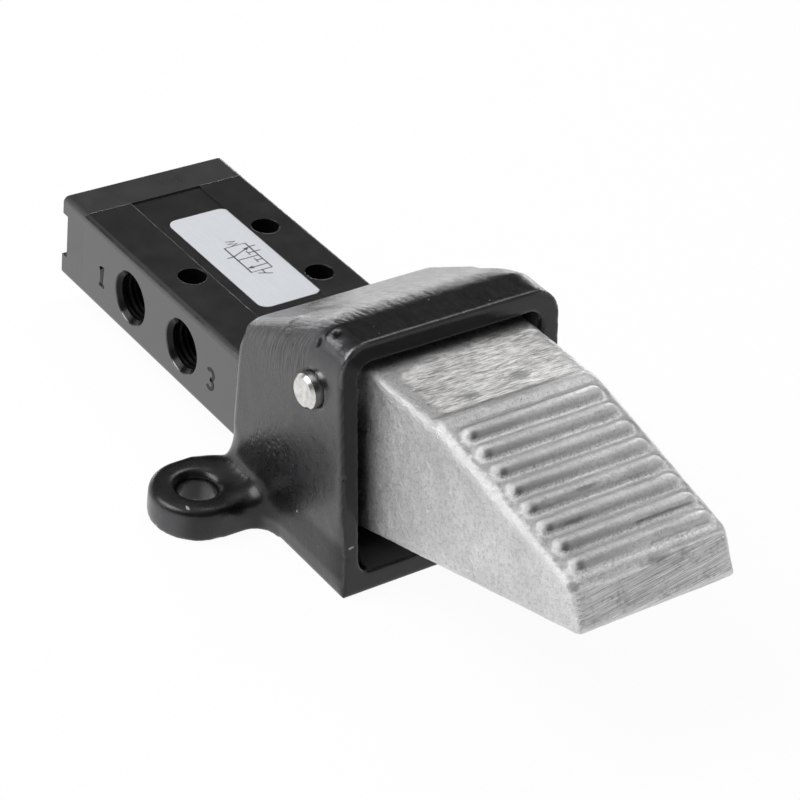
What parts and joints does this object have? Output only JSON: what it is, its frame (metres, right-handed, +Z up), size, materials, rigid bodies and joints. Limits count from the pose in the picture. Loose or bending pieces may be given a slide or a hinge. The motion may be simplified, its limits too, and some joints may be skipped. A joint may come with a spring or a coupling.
{
  "type": "foot pedal air valve",
  "caption": "Foot-operated pneumatic spool valve: ribbed cast pedal hinged in a black hooded housing with floor ears, and a ported rectangular valve body behind it.",
  "frame": {"origin": "on the floor, midway between the two floor bolt holes in the housing's ears", "axes": "+Y from the pedal's toe towards the valve's end cap, +Z up, +X to the right of someone standing at the toe"},
  "size_m": [0.103, 0.1985, 0.0588],
  "materials": {
    "housing_black": "satin black paint over a casting",
    "cast_aluminium": "bare sand casting, ground on its flat and toe",
    "pin_steel": "bright turned steel",
    "body_black": "black anodised bar",
    "cap_black": "matt black anodised",
    "screw_black": "black oxide",
    "seal_rubber": "matt black rubber",
    "gland_brass": "turned brass",
    "spool_aluminium": "turned",
    "spring_steel": "drawn wire"
  },
  "bodies": {
    "frame": {"pedal_housing": "housing_black", "pivot_pin": "pin_steel", "valve_body": "body_black", "end_cap": "cap_black", "end_cap_screws": "screw_black", "end_cap_seal": "seal_rubber", "plunger_gland": "gland_brass", "gland_seal": "seal_rubber", "plunger_wiper": "seal_rubber", "return_spring": "spring_steel", "housing_screws": "screw_black", "housing_washers": "spring_steel"},
    "pedal": {"pedal": "cast_aluminium"},
    "spool": {"plunger": "pin_steel", "spool": "spool_aluminium", "spool_seal_1": "seal_rubber", "spool_seal_2": "seal_rubber", "spool_seal_3": "seal_rubber", "spool_seal_4": "seal_rubber", "spring_seat": "pin_steel"}
  },
  "joints": [
    {"name": "pedal_hinge", "type": "hinge", "parent": "frame", "child": "pedal", "pos_m": [0, -0.0235, 0.0442], "axis": [1, 0, 0], "range_deg": [0, 10], "stiffness_Nm_per_rad": 1.4, "springref_deg": -31.51},
    {"name": "spool_slide", "type": "slide", "parent": "frame", "child": "spool", "axis": [0, 1, 0], "range_m": [0, 0.0047], "deforming": ["return_spring"]}
  ],
  "couplings": [
    {"joint": "spool_slide", "follows": "pedal_hinge", "m_per_rad": 0.0266}
  ]
}
